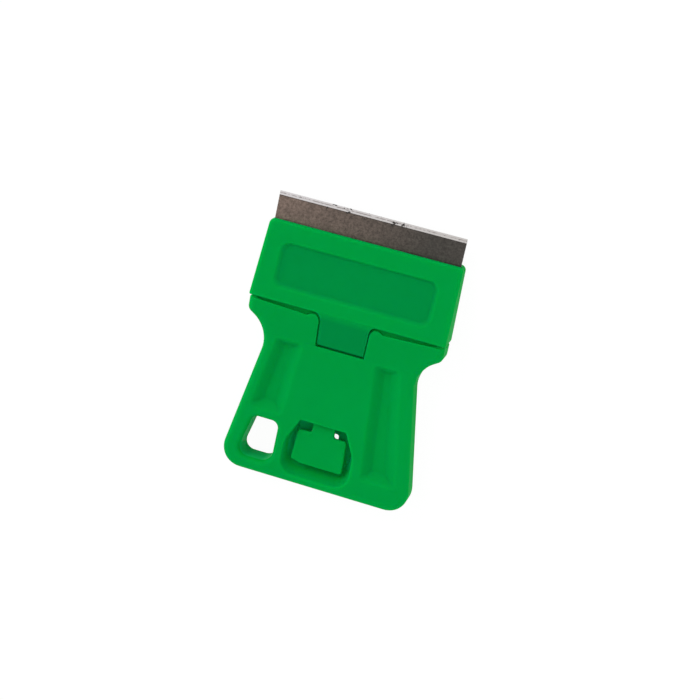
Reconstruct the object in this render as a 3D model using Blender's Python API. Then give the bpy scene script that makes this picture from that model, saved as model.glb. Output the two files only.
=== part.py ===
"""Pocket razor scraper: a moulded handle that carries a single-edge blade, and a sliding blade guard.

It lies on its back. X runs across the blade, Y points out over the cutting edge and Z is up.
The origin is at the centre of the underside of the whole object at rest. Units are metres.
"""

import math

import bmesh
import bpy
from mathutils import Matrix, Vector

# Blade: a standard single-edge razor blade with a folded spine
BLADE_WIDTH = 0.0381
BLADE_LENGTH = 0.0190
BLADE_THICKNESS = 0.00023
BEVEL_LENGTH = 0.0008
EDGE_THICKNESS = 0.00004
NOTCH_DEPTH = 0.0017
NOTCH_WIDTH = 0.0021
NOTCH_FROM_EDGE = 0.0118
SPINE_LENGTH = 0.0050
SPINE_WALL = 0.00032
SPINE_GAP = 0.00012
BLADE_EXPOSED = 0.0055

# Clearances
SLIDE_GAP = 0.0003
SEAT_GAP = 0.00015
BLADE_SIDE_GAP = 0.00025
OVERRUN = 0.002
MOUTH_OVERLAP = 0.0002

# Guard: a flat sleeve over the blade with a long tongue
HEAD_BEHIND_BLADE = 0.0019
HEAD_SIDE_WALL = 0.00045
HEAD_FLARE = 0.0005
HEAD_BACK_WALL = 0.0008
HEAD_FRONT_HEIGHT = 0.0039
HEAD_REAR_HEIGHT = 0.0069
HEAD_FACE_WALL = 0.0010
HEAD_CORNER_RADIUS = 0.0011
HEAD_REAR_CORNER_RADIUS = 0.0008
HEAD_EDGE_RADIUS = 0.0004
LIP_LENGTH = 0.0021
COVER_PAST_EDGE = 0.0015
PANEL_WIDTH = 0.0318
PANEL_LENGTH = 0.0080
PANEL_FROM_LIP = 0.0040
PANEL_DEPTH = 0.0005
PANEL_CORNER_RADIUS = 0.0014
PANEL_DRAFT = 0.0003
TONGUE_ROOT_WIDTH = 0.0101
TONGUE_WIDTH = 0.0096
TONGUE_THICKNESS = 0.0012
TONGUE_ROOT_FILLET = 0.0010
TONGUE_ROOT_RUN = 0.0011
LUG_LENGTH = 0.00105
LUG_DEPTH = 0.0009

# Thumb tab at the end of the tongue
TAB_NECK_WIDTH = 0.0046
TAB_WIDTH = 0.0102
TAB_END_WIDTH = 0.0109
TAB_LENGTH = 0.0070
TAB_THICKNESS = 0.0010
TAB_CORNER_RADIUS = 0.0005
TAB_CLIP_WIDTH = 0.0021
TAB_CLIP_LENGTH = 0.0006
TAB_EDGE_RADIUS = 0.0002
NOTCH_LENGTH = 0.00235
HINGE_INSIDE_ROOF = 0.0009
TAB_TIP_ROOM = 0.0026
TAB_DIP = 0.0014

# Deck: the part of the handle inside the sleeve, on which the blade lies
DECK_THICKNESS = 0.0012
DECK_TROUGH_DEPTH = 0.00055
DECK_STOP_HEIGHT = 0.0007
PEG_RADIUS = 0.0007
PEG_INSET = 0.0009
PEG_OVER_BLADE = 0.0002

# Handle
HANDLE_THICKNESS = 0.0058
SHOULDER_STEP = 0.0003
SHOULDER_INSET = 0.0001
SHOULDER_RUN = 0.00665
SHOULDER_STRAIGHT = 0.0029
SHOULDER_CORNER_RADIUS = 0.0011
SHOULDER_RADIUS = 0.0010
WAIST_WIDTH = 0.0303
WAIST_RADIUS = 0.0062
WAIST_FROM_SEAM = 0.0062
END_OVER_HEAD = 0.0003
HANDLE_CORNER_RADIUS = 0.0044
HANDLE_EDGE_RADIUS = 0.0007
ROOF_LENGTH = 0.0157
ROOF_THICKNESS = 0.0009
MOUTH_CORNER_RADIUS = 0.0013
END_RIM = 0.0018
RIM_WIDTH = 0.0031
RIB_INSET = 0.00765
RIB_END_WIDTH = 0.0198
PAN_DEPTH = 0.0019
PAN_DRAFT = 0.0011
PAN_CORNER_RADIUS = 0.0013
PAN_END_RIM = 0.0051
RIM_ROUND = 0.0005
POCKET_TOP_WIDTH = 0.0096
POCKET_WIDTH = 0.0145
POCKET_FLARE_RUN = 0.0050
POCKET_CORNER_RADIUS = 0.0031
POCKET_SIDE_RADIUS = 0.0060
POCKET_SIDE_DRAFT = 0.0003
POCKET_SCOOP_RUN = 0.0019
WINDOW_WIDTH = 0.0052
WINDOW_LENGTH = 0.0056
WINDOW_BELOW_ROOF = 0.0020
WINDOW_CORNER_RADIUS = 0.0008

# Hang hole in the lower left of the handle
HOLE_LENGTH = 0.0088
HOLE_WIDTH = 0.0076
HOLE_END_RIM = 0.0030
HOLE_TO_POCKET = 0.00195
HOLE_LEAN = 0.0021
HOLE_RING = 0.0015
HOLE_WIDE_RADIUS = 0.0021
HOLE_RADIUS = 0.0015
HOLE_ROUND = 0.0003

# How finely round outlines are divided, and the smallest corner left in one
ARC_STEPS = 6
ROUND_STEPS = 3
LEAST_RADIUS = 0.0003

GREEN = (0.0, 0.29, 0.06, 1.0)
STEEL = (0.22, 0.19, 0.17, 1.0)
SPINE_STEEL = (0.50, 0.49, 0.47, 1.0)

# Places along the object, from the cutting edge to the end of the handle
HEAD_LENGTH = BLADE_LENGTH - BLADE_EXPOSED + HEAD_BEHIND_BLADE
POCKET_LENGTH = NOTCH_LENGTH + TAB_LENGTH + TAB_TIP_ROOM
BODY_LENGTH = SHOULDER_RUN + ROOF_LENGTH + POCKET_LENGTH + END_RIM
OVERALL_LENGTH = BLADE_EXPOSED + HEAD_LENGTH + SLIDE_GAP + BODY_LENGTH
GUARD_TRAVEL = BLADE_EXPOSED + COVER_PAST_EDGE

edge_y = OVERALL_LENGTH / 2
lip_y = edge_y - BLADE_EXPOSED
head_rear_y = lip_y - HEAD_LENGTH
seam_y = head_rear_y - SLIDE_GAP
roof_start_y = seam_y - SHOULDER_RUN
roof_end_y = roof_start_y - ROOF_LENGTH
pocket_end_y = roof_end_y - POCKET_LENGTH
end_y = -OVERALL_LENGTH / 2
hinge_y = roof_end_y + HINGE_INSIDE_ROOF
tongue_end_y = hinge_y + SLIDE_GAP / 2
neck_start_y = hinge_y - SLIDE_GAP / 2
lug_front_y = tongue_end_y + LUG_LENGTH
floor_step_y = lug_front_y + GUARD_TRAVEL + SLIDE_GAP
tab_top_y = roof_end_y - NOTCH_LENGTH
tab_tip_y = tab_top_y - TAB_LENGTH

# Heights
deck_bottom_z = HEAD_BACK_WALL + SLIDE_GAP
deck_top_z = deck_bottom_z + DECK_THICKNESS
blade_z = deck_top_z + SEAT_GAP
blade_top_z = blade_z + BLADE_THICKNESS
blade_mid_z = blade_z + BLADE_THICKNESS / 2
spine_half = BLADE_THICKNESS / 2 + SPINE_GAP + SPINE_WALL
spine_top_z = blade_mid_z + spine_half
ceiling_z = HANDLE_THICKNESS - ROOF_THICKNESS
tongue_top_z = ceiling_z - SLIDE_GAP
tongue_bottom_z = tongue_top_z - TONGUE_THICKNESS
channel_floor_z = tongue_bottom_z - SLIDE_GAP
shoulder_z = HEAD_REAR_HEIGHT - SHOULDER_STEP
tab_bottom_z = tongue_top_z - TAB_THICKNESS
deep_floor_z = min(tab_bottom_z - TAB_DIP, tongue_bottom_z - LUG_DEPTH - SLIDE_GAP)

# Half widths
head_front_half = BLADE_WIDTH / 2 + BLADE_SIDE_GAP + HEAD_SIDE_WALL
head_rear_half = head_front_half + HEAD_FLARE
cavity_half = BLADE_WIDTH / 2 + BLADE_SIDE_GAP
deck_half = BLADE_WIDTH / 2
shoulder_half = head_rear_half - SHOULDER_INSET
end_half = head_rear_half + END_OVER_HEAD
rib_half = WAIST_WIDTH / 2 - RIB_INSET
waist_y = seam_y - WAIST_FROM_SEAM
tunnel_half = TAB_END_WIDTH / 2 + SLIDE_GAP


def clear_scene():
    for scene_object in list(bpy.data.objects):
        bpy.data.objects.remove(scene_object, do_unlink=True)


def plastic_material():
    material = bpy.data.materials.new("green_plastic")
    material.use_nodes = True
    shader = material.node_tree.nodes["Principled BSDF"]
    shader.inputs["Base Color"].default_value = GREEN
    shader.inputs["Roughness"].default_value = 0.42
    shader.inputs["Metallic"].default_value = 0.0
    return material


def steel_material(name, colour, roughness):
    material = bpy.data.materials.new(name)
    material.use_nodes = True
    shader = material.node_tree.nodes["Principled BSDF"]
    shader.inputs["Base Color"].default_value = colour
    shader.inputs["Roughness"].default_value = roughness
    shader.inputs["Metallic"].default_value = 1.0
    return material


def rounded(corners):
    """Points of a closed outline, with an arc at each (x, y, radius) corner."""
    points = []
    for index, (x, y, radius) in enumerate(corners):
        corner = Vector((x, y))
        before = Vector(corners[index - 1][:2])
        after = Vector(corners[(index + 1) % len(corners)][:2])
        back = (before - corner).normalized()
        ahead = (after - corner).normalized()
        half_angle = back.angle(ahead) / 2
        reach = radius / math.tan(half_angle)
        start = corner + back * reach
        finish = corner + ahead * reach
        centre = corner + (back + ahead).normalized() * (radius / math.sin(half_angle))
        sweep = (finish - centre).angle_signed(start - centre)
        for step in range(ARC_STEPS + 1):
            turn = Matrix.Rotation(sweep * step / ARC_STEPS, 2)
            points.append(centre + turn @ (start - centre))
    return points


def grown(corners, distance):
    """The outline's corners moved outwards by a distance, their radii grown alike."""
    area = sum(
        corners[i - 1][0] * corners[i][1] - corners[i][0] * corners[i - 1][1]
        for i in range(len(corners))
    )
    side = math.copysign(1, area)
    moved = []
    for index, (x, y, radius) in enumerate(corners):
        corner = Vector((x, y))
        arriving = (corner - Vector(corners[index - 1][:2])).normalized()
        leaving = (Vector(corners[(index + 1) % len(corners)][:2]) - corner).normalized()
        first = Vector((arriving.y, -arriving.x)) * side
        second = Vector((leaving.y, -leaving.x)) * side
        bisector = (first + second) / (1 + first.dot(second))
        turn = arriving.x * leaving.y - arriving.y * leaving.x
        bend = math.copysign(1, turn * side)
        place = corner + bisector * distance
        moved.append((place.x, place.y, max(radius + bend * distance, LEAST_RADIUS)))
    return moved


def mesh_object(name, mesh_data, material=None):
    mesh = bpy.data.meshes.new(name)
    bmesh.ops.recalc_face_normals(mesh_data, faces=mesh_data.faces)
    mesh_data.to_mesh(mesh)
    mesh_data.free()
    made = bpy.data.objects.new(name, mesh)
    bpy.context.scene.collection.objects.link(made)
    if material:
        made.data.materials.append(material)
    return made


def loft(name, levels, material=None):
    """A closed solid through outlines of equal count, given as (corners, z) pairs from low to high."""
    mesh_data = bmesh.new()
    rings = []
    for corners, z in levels:
        rings.append([mesh_data.verts.new((p.x, p.y, z)) for p in rounded(corners)])
    mesh_data.faces.new(rings[0])
    mesh_data.faces.new(rings[-1])
    count = len(rings[0])
    for low, high in zip(rings, rings[1:]):
        for i in range(count):
            j = (i + 1) % count
            mesh_data.faces.new((low[i], low[j], high[j], high[i]))
    return mesh_object(name, mesh_data, material)


def plate(name, corners, low, high, material=None):
    return loft(name, [(corners, low), (corners, high)], material)


def bar_across(name, profile, half_width, material=None):
    """A solid with a (y, z) profile, running across X."""
    mesh_data = bmesh.new()
    ends = []
    for x in (-half_width, half_width):
        ends.append([mesh_data.verts.new((x, y, z)) for y, z in profile])
    mesh_data.faces.new(ends[0])
    mesh_data.faces.new(ends[1])
    for i in range(len(profile)):
        j = (i + 1) % len(profile)
        mesh_data.faces.new((ends[0][i], ends[0][j], ends[1][j], ends[1][i]))
    return mesh_object(name, mesh_data, material)


def block(name, x_range, y_range, z_range):
    profile = [
        (y_range[0], z_range[0]),
        (y_range[1], z_range[0]),
        (y_range[1], z_range[1]),
        (y_range[0], z_range[1]),
    ]
    made = bar_across(name, profile, (x_range[1] - x_range[0]) / 2)
    middle = (x_range[0] + x_range[1]) / 2
    made.data.transform(Matrix.Translation((middle, 0, 0)))
    return made


def helper(made):
    made.hide_render = True
    made.display_type = "WIRE"
    return made


def combine(target, other, operation):
    helper(other)
    modifier = target.modifiers.new(other.name, "BOOLEAN")
    modifier.operation = operation
    modifier.object = other
    modifier.solver = "EXACT"


def round_edges(target, radius):
    modifier = target.modifiers.new("edge_radius", "BEVEL")
    modifier.width = radius
    modifier.segments = ROUND_STEPS
    modifier.limit_method = "ANGLE"
    modifier.angle_limit = math.radians(40)
    modifier.use_clamp_overlap = False


def mirrored(corners):
    """A right-hand half outline, listed from top to bottom, closed by its mirror image."""
    left = [(-x, y, radius) for x, y, radius in reversed(corners)]
    return corners + left


def recess(name, top, floor, top_z, floor_z, rim_round, floor_round):
    """A cutter for a recess: rounded at its rim, sloping walls, rounded where the walls meet the floor."""
    levels = []
    for step in range(ROUND_STEPS + 1):
        angle = math.pi / 2 * step / ROUND_STEPS
        inset = floor_round * (1 - math.sin(angle))
        levels.append((grown(floor, -inset), floor_z + floor_round * (1 - math.cos(angle))))
    for step in range(ROUND_STEPS + 1):
        angle = math.pi / 2 * step / ROUND_STEPS
        outset = rim_round * (1 - math.cos(angle))
        levels.append((grown(top, outset), top_z - rim_round * (1 - math.sin(angle))))
    levels.append((grown(top, rim_round), top_z + OVERRUN))
    return loft(name, levels)


def handle_half_at(y):
    """Half width of the flared handle below the waist."""
    share = (waist_y - y) / (waist_y - end_y)
    return WAIST_WIDTH / 2 + (end_half - WAIST_WIDTH / 2) * share


def rib_half_at(y):
    """Half width of the raised middle, which widens like the handle's sides."""
    share = (roof_start_y - y) / (roof_start_y - end_y)
    return rib_half + (RIB_END_WIDTH / 2 - rib_half) * share


def handle_outline():
    return mirrored([
        (shoulder_half, seam_y, SHOULDER_CORNER_RADIUS),
        (shoulder_half, seam_y - SHOULDER_STRAIGHT, SHOULDER_RADIUS),
        (WAIST_WIDTH / 2, waist_y, WAIST_RADIUS),
        (end_half, end_y, HANDLE_CORNER_RADIUS),
    ])


def handle_block(material):
    body = plate("handle_body", handle_outline(), 0, HEAD_REAR_HEIGHT + OVERRUN, material)
    before_y = seam_y + OVERRUN
    rise = (shoulder_z - HANDLE_THICKNESS) / SHOULDER_RUN
    side_profile = [
        (before_y, -OVERRUN),
        (before_y, shoulder_z + rise * OVERRUN),
        (roof_start_y, HANDLE_THICKNESS),
        (end_y - OVERRUN, HANDLE_THICKNESS),
        (end_y - OVERRUN, -OVERRUN),
    ]
    combine(body, bar_across("side_profile", side_profile, 2 * end_half), "INTERSECT")
    round_edges(body, HANDLE_EDGE_RADIUS)
    return body


def add_deck(body):
    """The plate inside the sleeve, with a trough for the spine, a stop behind it and two pegs."""
    deck_front_y = lip_y - LIP_LENGTH - SLIDE_GAP
    spine_front_y = edge_y - BLADE_LENGTH + SPINE_LENGTH
    spine_rear_y = edge_y - BLADE_LENGTH - SPINE_WALL - SPINE_GAP
    trough_z = deck_top_z - DECK_TROUGH_DEPTH
    stop_z = deck_top_z + DECK_STOP_HEIGHT
    profile = [
        (deck_front_y, deck_bottom_z),
        (deck_front_y, deck_top_z),
        (spine_front_y + SLIDE_GAP, deck_top_z),
        (spine_front_y + SLIDE_GAP, trough_z),
        (spine_rear_y - SLIDE_GAP, trough_z),
        (spine_rear_y - SLIDE_GAP, stop_z),
        (seam_y - OVERRUN, stop_z),
        (seam_y - OVERRUN, deck_bottom_z),
    ]
    combine(body, bar_across("deck", profile, deck_half), "UNION")
    for side, name in ((-1, "left"), (1, "right")):
        add_peg(body, side, name)


def add_peg(body, side, name):
    """A peg that stands in the blade's side notch and takes the push along Y."""
    mesh_data = bmesh.new()
    top_z = blade_top_z + PEG_OVER_BLADE
    bmesh.ops.create_cone(
        mesh_data,
        cap_ends=True,
        segments=ARC_STEPS * 3,
        radius1=PEG_RADIUS,
        radius2=PEG_RADIUS,
        depth=top_z - deck_bottom_z - SEAT_GAP,
    )
    peg = mesh_object(name + "_peg", mesh_data)
    x = side * (deck_half - PEG_INSET)
    y = edge_y - NOTCH_FROM_EDGE
    peg.data.transform(Matrix.Translation((x, y, (top_z + deck_bottom_z + SEAT_GAP) / 2)))
    combine(body, peg, "UNION")


def cut_channel(body):
    """The open channel between the shoulders, then the tunnel under the roof."""
    root_half = TONGUE_ROOT_WIDTH / 2 + SLIDE_GAP
    tongue_half = TONGUE_WIDTH / 2 + SLIDE_GAP
    wide_half = root_half + 2 * MOUTH_CORNER_RADIUS
    small = SLIDE_GAP
    mouth = mirrored([
        (wide_half, seam_y + OVERRUN, small),
        (wide_half, seam_y + MOUTH_OVERLAP, small),
        (root_half, seam_y + MOUTH_OVERLAP, MOUTH_CORNER_RADIUS),
        (tongue_half, roof_start_y, small),
    ])
    combine(body, plate("channel_cut", mouth, channel_floor_z, shoulder_z + OVERRUN), "DIFFERENCE")
    high = block(
        "tunnel_cut",
        (-tongue_half, tongue_half),
        (floor_step_y - OVERRUN, roof_start_y + OVERRUN),
        (channel_floor_z, ceiling_z),
    )
    combine(body, high, "DIFFERENCE")
    deep = block(
        "deep_tunnel_cut",
        (-tunnel_half, tunnel_half),
        (tab_top_y, floor_step_y),
        (deep_floor_z, ceiling_z),
    )
    combine(body, deep, "DIFFERENCE")


def pocket_corners(inset, scoop):
    return mirrored([
        (POCKET_TOP_WIDTH / 2, roof_end_y, RIM_ROUND),
        (POCKET_WIDTH / 2 - inset, roof_end_y - POCKET_FLARE_RUN, POCKET_SIDE_RADIUS),
        (POCKET_WIDTH / 2 - inset - scoop / 2, pocket_end_y + scoop, POCKET_CORNER_RADIUS),
    ])


def cut_pocket(body):
    """The thumb pocket with its sloping lower end, and the window through the back under the tab."""
    top = pocket_corners(0, 0)
    floor = pocket_corners(POCKET_SIDE_DRAFT, POCKET_SCOOP_RUN)
    cutter = loft("pocket_cut", [
        (floor, deep_floor_z),
        (top, HANDLE_THICKNESS - RIM_ROUND),
        (grown(top, RIM_ROUND / 4), HANDLE_THICKNESS - RIM_ROUND / 3),
        (grown(top, RIM_ROUND), HANDLE_THICKNESS + RIM_ROUND / 3),
        (grown(top, RIM_ROUND), HANDLE_THICKNESS + OVERRUN),
    ])
    combine(body, cutter, "DIFFERENCE")
    window_top = roof_end_y - WINDOW_BELOW_ROOF
    window = mirrored([
        (WINDOW_WIDTH / 2, window_top, WINDOW_CORNER_RADIUS),
        (WINDOW_WIDTH / 2, window_top - WINDOW_LENGTH, WINDOW_CORNER_RADIUS),
    ])
    combine(body, plate("window_cut", window, -OVERRUN, deep_floor_z + SLIDE_GAP), "DIFFERENCE")


def pan_corners(top_y, bottom_y, side):
    """The outline of a shallow pan between the rim and the raised middle."""
    inner_top = rib_half_at(top_y)
    inner_bottom = rib_half_at(bottom_y)
    outer_top = handle_half_at(top_y) - RIM_WIDTH
    outer_bottom = handle_half_at(bottom_y) - RIM_WIDTH
    corners = [
        (outer_top, top_y, PAN_CORNER_RADIUS),
        (outer_bottom, bottom_y, PAN_CORNER_RADIUS),
        (inner_bottom, bottom_y, PAN_CORNER_RADIUS),
        (inner_top, top_y, PAN_CORNER_RADIUS),
    ]
    return [(side * x, y, radius) for x, y, radius in corners]


def cut_pans(body):
    hole_top_y = end_y + HOLE_END_RIM + HOLE_LENGTH
    ends = ((-1, "left", hole_top_y + HOLE_RING), (1, "right", end_y + PAN_END_RIM))
    for side, name, bottom_y in ends:
        top = pan_corners(roof_start_y - RIM_ROUND, bottom_y, side)
        floor = grown(top, -PAN_DRAFT)
        floor_z = HANDLE_THICKNESS - PAN_DEPTH
        cutter = recess(name + "_pan_cut", top, floor, HANDLE_THICKNESS, floor_z, RIM_ROUND, RIM_ROUND)
        combine(body, cutter, "DIFFERENCE")


def hole_corners():
    right = -POCKET_WIDTH / 2 - HOLE_TO_POCKET
    bottom_y = end_y + HOLE_END_RIM
    top_y = bottom_y + HOLE_LENGTH
    left_bottom = right - HOLE_WIDTH
    return [
        (right, top_y, HOLE_RADIUS),
        (right, bottom_y, HOLE_RADIUS),
        (left_bottom, bottom_y, HOLE_WIDE_RADIUS),
        (left_bottom + HOLE_LEAN, top_y, HOLE_RADIUS),
    ]


def cut_hang_hole(body):
    corners = hole_corners()
    wide = grown(corners, HOLE_ROUND)
    cutter = loft("hang_hole_cut", [
        (wide, -OVERRUN),
        (wide, 0),
        (corners, HOLE_ROUND),
        (corners, HANDLE_THICKNESS - HOLE_ROUND),
        (wide, HANDLE_THICKNESS),
        (wide, HANDLE_THICKNESS + OVERRUN),
    ])
    combine(body, cutter, "DIFFERENCE")


def make_handle(material):
    body = handle_block(material)
    add_deck(body)
    cut_channel(body)
    cut_pocket(body)
    cut_pans(body)
    cut_hang_hole(body)
    return body


def face_z(y):
    """Height of the sleeve's sloping face."""
    share = (lip_y - y) / HEAD_LENGTH
    return HEAD_FRONT_HEIGHT + (HEAD_REAR_HEIGHT - HEAD_FRONT_HEIGHT) * share


def sleeve_block(material):
    outline = mirrored([
        (head_front_half, lip_y, HEAD_CORNER_RADIUS),
        (head_rear_half, head_rear_y, HEAD_REAR_CORNER_RADIUS),
    ])
    sleeve = plate("blade_guard", outline, 0, HEAD_REAR_HEIGHT + OVERRUN, material)
    before_y = lip_y + OVERRUN
    behind_y = head_rear_y - OVERRUN
    profile = [
        (before_y, -OVERRUN),
        (before_y, face_z(before_y)),
        (behind_y, face_z(behind_y)),
        (behind_y, -OVERRUN),
    ]
    combine(sleeve, bar_across("face_profile", profile, 2 * end_half), "INTERSECT")
    round_edges(sleeve, HEAD_EDGE_RADIUS)
    return sleeve


def cut_sleeve(sleeve):
    """The slot for the blade at the lip, and the hollow behind it."""
    slot_profile = [
        (lip_y + OVERRUN, blade_z - SLIDE_GAP),
        (lip_y + OVERRUN, blade_top_z + SLIDE_GAP),
        (lip_y - LIP_LENGTH - OVERRUN, blade_top_z + SLIDE_GAP),
        (lip_y - LIP_LENGTH - OVERRUN, blade_z - SLIDE_GAP),
    ]
    combine(sleeve, bar_across("slot_cut", slot_profile, cavity_half), "DIFFERENCE")
    hollow_front_y = lip_y - LIP_LENGTH
    rise_y = hollow_front_y - HEAD_FACE_WALL
    behind_y = head_rear_y - OVERRUN
    low_z = max(spine_top_z + SLIDE_GAP, face_z(rise_y) - HEAD_FACE_WALL)
    hollow_profile = [
        (hollow_front_y, HEAD_BACK_WALL),
        (hollow_front_y, blade_top_z + SLIDE_GAP),
        (rise_y, low_z),
        (behind_y, low_z + face_z(behind_y) - face_z(rise_y)),
        (behind_y, HEAD_BACK_WALL),
    ]
    combine(sleeve, bar_across("hollow_cut", hollow_profile, cavity_half), "DIFFERENCE")


def cut_panel(sleeve):
    """The bare recessed panel on the sloping face, cut square to that face."""
    half = PANEL_WIDTH / 2
    top = mirrored([
        (half, PANEL_LENGTH / 2, PANEL_CORNER_RADIUS),
        (half, -PANEL_LENGTH / 2, PANEL_CORNER_RADIUS),
    ])
    floor = grown(top, -PANEL_DRAFT)
    cutter = loft("panel_cut", [
        (floor, -PANEL_DEPTH),
        (top, -PANEL_DRAFT / 2),
        (grown(top, PANEL_DRAFT / 2), 0),
        (grown(top, PANEL_DRAFT / 2), OVERRUN),
    ])
    middle_y = lip_y - PANEL_FROM_LIP - PANEL_LENGTH / 2
    slope = math.atan2(HEAD_REAR_HEIGHT - HEAD_FRONT_HEIGHT, HEAD_LENGTH)
    place = Matrix.Translation((0, middle_y, face_z(middle_y))) @ Matrix.Rotation(-slope, 4, "X")
    cutter.data.transform(place)
    combine(sleeve, cutter, "DIFFERENCE")


def tongue_profile():
    """Side view of the tongue: level with the sleeve's face at its root, then down under the roof."""
    front_y = head_rear_y + TONGUE_ROOT_RUN
    bend_y = roof_start_y + SLIDE_GAP
    return [
        (front_y, tongue_bottom_z),
        (front_y, face_z(front_y) - HEAD_FACE_WALL / 2),
        (head_rear_y + SLIDE_GAP, face_z(head_rear_y + SLIDE_GAP) - HEAD_EDGE_RADIUS / 4),
        (head_rear_y - SLIDE_GAP, shoulder_z),
        (bend_y, tongue_top_z),
        (tongue_end_y, tongue_top_z),
        (tongue_end_y, tongue_bottom_z - LUG_DEPTH),
        (lug_front_y, tongue_bottom_z - LUG_DEPTH),
        (lug_front_y, tongue_bottom_z),
    ]


def add_tongue(sleeve):
    root_half = TONGUE_ROOT_WIDTH / 2
    half = TONGUE_WIDTH / 2
    inside_y = head_rear_y + TONGUE_ROOT_RUN + OVERRUN
    small = SLIDE_GAP
    wide_half = root_half + 2 * TONGUE_ROOT_FILLET
    outline = mirrored([
        (wide_half, inside_y, small),
        (wide_half, head_rear_y + MOUTH_OVERLAP, small),
        (root_half, head_rear_y + MOUTH_OVERLAP, TONGUE_ROOT_FILLET),
        (half, roof_start_y, TONGUE_ROOT_FILLET),
        (half, tongue_end_y, small),
    ])
    tongue = plate("tongue", outline, deep_floor_z, HEAD_REAR_HEIGHT)
    side_view = bar_across("tongue_side_view", tongue_profile(), 2 * end_half)
    combine(tongue, side_view, "INTERSECT")
    combine(sleeve, tongue, "UNION")


def make_guard(material):
    sleeve = sleeve_block(material)
    cut_sleeve(sleeve)
    cut_panel(sleeve)
    add_tongue(sleeve)
    return sleeve


def make_tab(material):
    """The thumb tab on its narrow neck. Its origin is on the bending line of the neck."""
    neck = TAB_NECK_WIDTH / 2
    top = TAB_WIDTH / 2
    tip = TAB_END_WIDTH / 2
    small = TAB_EDGE_RADIUS * 2
    outline = [
        (neck, neck_start_y, small),
        (neck, tab_top_y, small),
        (top, tab_top_y, TAB_CORNER_RADIUS),
        (tip, tab_tip_y, TAB_CORNER_RADIUS),
        (-tip + TAB_CLIP_WIDTH, tab_tip_y, small),
        (-tip, tab_tip_y + TAB_CLIP_LENGTH, small),
        (-top, tab_top_y, TAB_CORNER_RADIUS),
        (-neck, tab_top_y, small),
        (-neck, neck_start_y, small),
    ]
    tab = plate("thumb_tab", outline, tab_bottom_z, tongue_top_z, material)
    round_edges(tab, TAB_EDGE_RADIUS)
    hinge = Vector((0, hinge_y, (tab_bottom_z + tongue_top_z) / 2))
    tab.data.transform(Matrix.Translation(-hinge))
    tab.location = hinge
    return tab


def make_blade(material):
    rear_y = edge_y - BLADE_LENGTH
    profile = [
        (edge_y, blade_mid_z - EDGE_THICKNESS / 2),
        (edge_y, blade_mid_z + EDGE_THICKNESS / 2),
        (edge_y - BEVEL_LENGTH, blade_top_z),
        (rear_y, blade_top_z),
        (rear_y, blade_z),
        (edge_y - BEVEL_LENGTH, blade_z),
    ]
    blade = bar_across("blade", profile, BLADE_WIDTH / 2, material)
    notch_y = edge_y - NOTCH_FROM_EDGE
    for side, name in ((-1, "left"), (1, "right")):
        inner = BLADE_WIDTH / 2 - NOTCH_DEPTH
        outer = BLADE_WIDTH / 2 + OVERRUN
        corners = [
            (side * inner, notch_y + NOTCH_WIDTH / 2, NOTCH_WIDTH / 3),
            (side * outer, notch_y + NOTCH_WIDTH / 2, SLIDE_GAP),
            (side * outer, notch_y - NOTCH_WIDTH / 2, SLIDE_GAP),
            (side * inner, notch_y - NOTCH_WIDTH / 2, NOTCH_WIDTH / 3),
        ]
        cutter = plate(name + "_notch_cut", corners, blade_z - OVERRUN, blade_top_z + OVERRUN)
        combine(blade, cutter, "DIFFERENCE")
    return blade


def make_spine(material):
    """The folded strip round the blade's back edge, open towards the cutting edge."""
    rear_y = edge_y - BLADE_LENGTH
    front_y = rear_y + SPINE_LENGTH
    inner_half = BLADE_THICKNESS / 2 + SPINE_GAP
    outer = []
    inner = []
    for step in range(ARC_STEPS + 1):
        angle = math.pi / 2 + math.pi * step / ARC_STEPS
        along = math.cos(angle)
        up = math.sin(angle)
        bend_y = rear_y
        outer.append((bend_y + spine_half * along, blade_mid_z + spine_half * up))
        inner.append((bend_y + inner_half * along, blade_mid_z + inner_half * up))
    profile = [(front_y, blade_mid_z + inner_half), (front_y, blade_mid_z + spine_half)]
    profile += outer
    profile += [(front_y, blade_mid_z - spine_half), (front_y, blade_mid_z - inner_half)]
    profile += list(reversed(inner))
    return bar_across("blade_spine", profile, BLADE_WIDTH / 2, material)


def shade(made):
    made.data.shade_smooth()
    made.data.set_sharp_from_angle(angle=math.radians(30))


def main():
    clear_scene()
    green = plastic_material()
    handle = make_handle(green)
    guard = make_guard(green)
    tab = make_tab(green)
    tab.parent = guard
    blade = make_blade(steel_material("blade_steel", STEEL, 0.3))
    blade.parent = handle
    spine = make_spine(steel_material("spine_steel", SPINE_STEEL, 0.35))
    spine.parent = handle
    for made in (handle, guard, tab, blade, spine):
        shade(made)


main()
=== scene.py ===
import math

import bmesh
import bpy
from mathutils import Matrix, Vector


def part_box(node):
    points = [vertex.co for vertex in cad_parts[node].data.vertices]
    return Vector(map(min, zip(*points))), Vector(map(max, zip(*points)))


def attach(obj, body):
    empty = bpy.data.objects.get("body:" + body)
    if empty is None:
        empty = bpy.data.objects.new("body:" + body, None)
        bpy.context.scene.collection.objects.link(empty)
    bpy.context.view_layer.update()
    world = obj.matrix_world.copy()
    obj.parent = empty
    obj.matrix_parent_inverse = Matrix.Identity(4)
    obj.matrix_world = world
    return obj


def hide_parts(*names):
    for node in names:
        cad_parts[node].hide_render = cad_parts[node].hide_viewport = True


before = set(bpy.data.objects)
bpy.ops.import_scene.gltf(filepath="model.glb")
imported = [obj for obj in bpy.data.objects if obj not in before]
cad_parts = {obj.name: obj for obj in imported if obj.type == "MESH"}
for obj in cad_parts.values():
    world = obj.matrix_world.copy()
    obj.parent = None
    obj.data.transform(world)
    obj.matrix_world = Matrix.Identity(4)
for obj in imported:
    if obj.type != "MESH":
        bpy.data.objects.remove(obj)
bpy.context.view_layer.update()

# Sizes are in metres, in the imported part's own frame: X along the blade, Y out past its edge, Z up
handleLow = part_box("handle_body")[0]
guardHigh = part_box("blade_guard")[1]
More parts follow.
